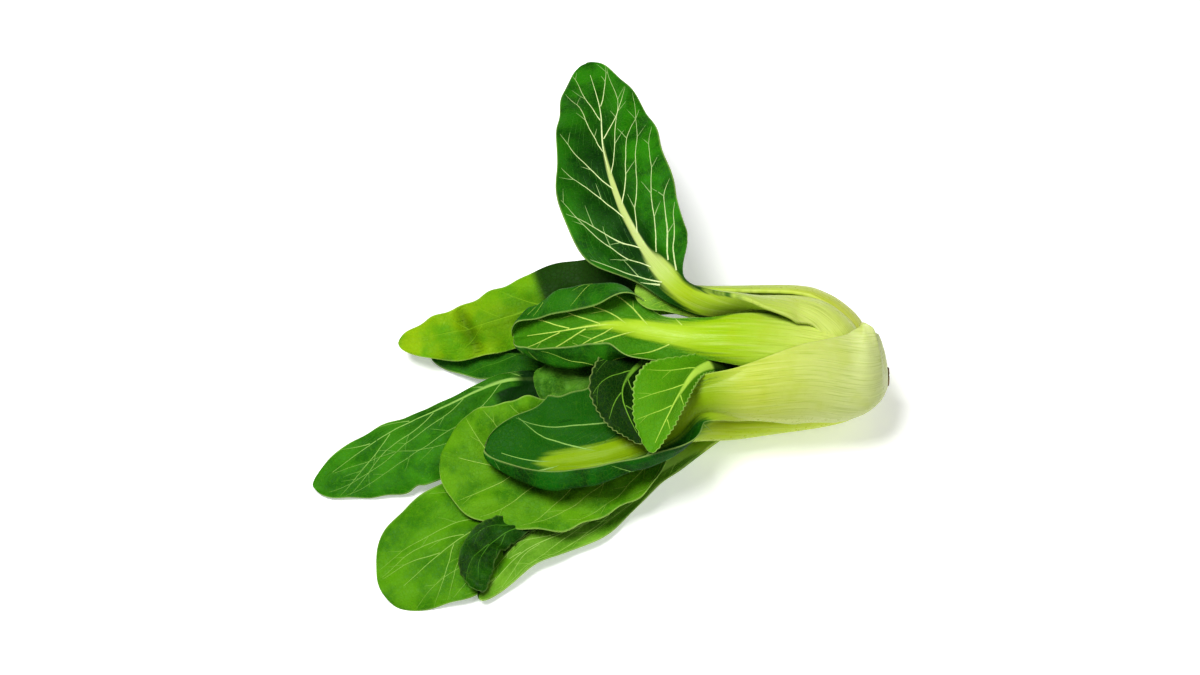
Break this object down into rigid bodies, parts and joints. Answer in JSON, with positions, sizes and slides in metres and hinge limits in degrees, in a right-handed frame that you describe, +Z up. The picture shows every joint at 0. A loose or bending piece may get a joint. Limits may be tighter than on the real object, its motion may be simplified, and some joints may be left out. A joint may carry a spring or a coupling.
{
  "type": "head of bok choy",
  "caption": "Whole head of green-stemmed bok choy lying on its side, with thick pale stalks nested at the base and broad wavy green leaves.",
  "frame": {"origin": "on the resting surface, under the middle of the whole head's box", "axes": "+X toward the cut root end, -X toward the leaf tips, +Y toward the raised leaf, +Z up"},
  "size_m": [0.2536, 0.2468, 0.0838],
  "materials": {
    "stalk": "waxy pale green stalk with fine lengthwise ribs",
    "blade": "fresh green leaf with pale veins and a pale thin margin",
    "root": "dry cut end, cream with brown"
  },
  "bodies": {
    "root": {"front_leaf_stalk": "stalk", "front_leaf_blade": "blade", "low_front_leaf_stalk": "stalk", "low_front_leaf_blade": "blade", "raised_leaf_stalk": "stalk", "raised_leaf_blade": "blade", "middle_leaf_stalk": "stalk", "middle_leaf_blade": "blade", "back_leaf_stalk": "stalk", "back_leaf_blade": "blade", "long_leaf_stalk": "stalk", "long_leaf_blade": "blade", "far_low_leaf_stalk": "stalk", "far_low_leaf_blade": "blade", "round_leaf_stalk": "stalk", "round_leaf_blade": "blade", "bottom_leaf_stalk": "stalk", "bottom_leaf_blade": "blade", "wrinkled_leaf_stalk": "stalk", "wrinkled_leaf_blade": "blade", "young_light_leaf_stalk": "stalk", "young_light_leaf_blade": "blade", "young_dark_leaf_stalk": "stalk", "young_dark_leaf_blade": "blade", "crinkled_leaf_stalk": "stalk", "crinkled_leaf_blade": "blade", "heart_leaf_stalk": "stalk", "heart_leaf_blade": "blade", "root_end": "root"}
  },
  "joints": []
}
